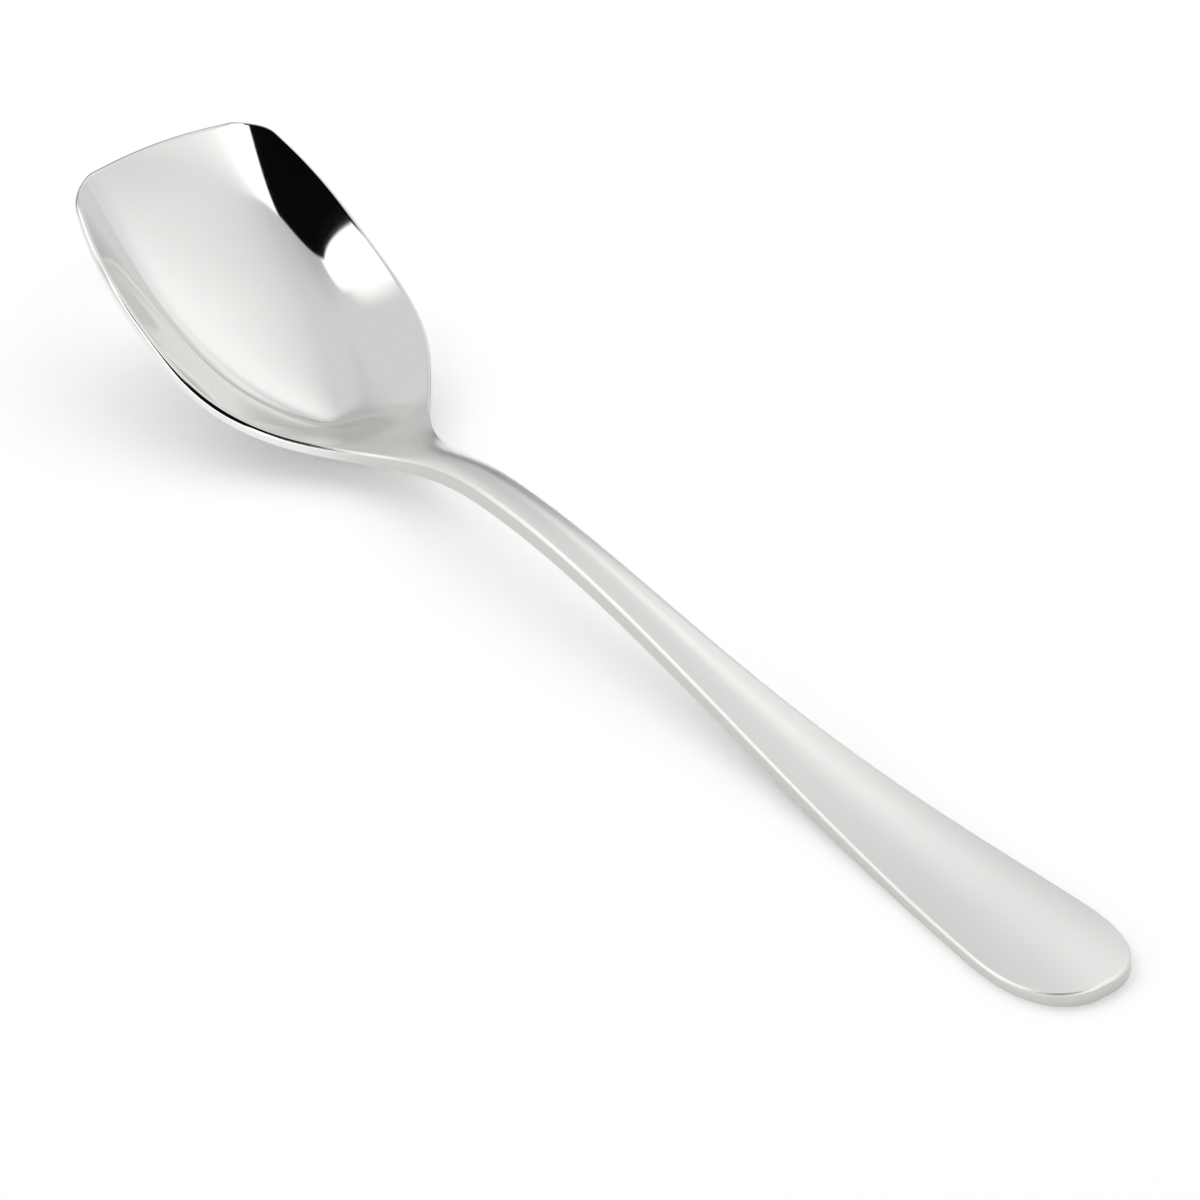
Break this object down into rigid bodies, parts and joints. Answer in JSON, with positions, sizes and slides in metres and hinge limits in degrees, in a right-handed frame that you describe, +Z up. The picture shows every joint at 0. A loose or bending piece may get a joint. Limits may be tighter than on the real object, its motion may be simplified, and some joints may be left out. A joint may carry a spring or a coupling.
{
  "type": "ice cream spoon",
  "caption": "Ice cream spoon in stainless steel: a square, upturned dished bowl, a narrow arched neck and a flared handle with a round end.",
  "frame": {"origin": "on the table, under the middle of the spoon's length and width", "axes": "+X from the bowl to the handle's end, +Y across the spoon, +Z up from the table that it lies on"},
  "size_m": [0.156, 0.0306, 0.0204],
  "materials": {
    "polished_steel": "mirror polished stainless steel",
    "satin_steel": "satin stainless steel"
  },
  "bodies": {
    "root": {"bowl": "polished_steel", "neck": "satin_steel", "handle": "satin_steel"}
  },
  "joints": []
}
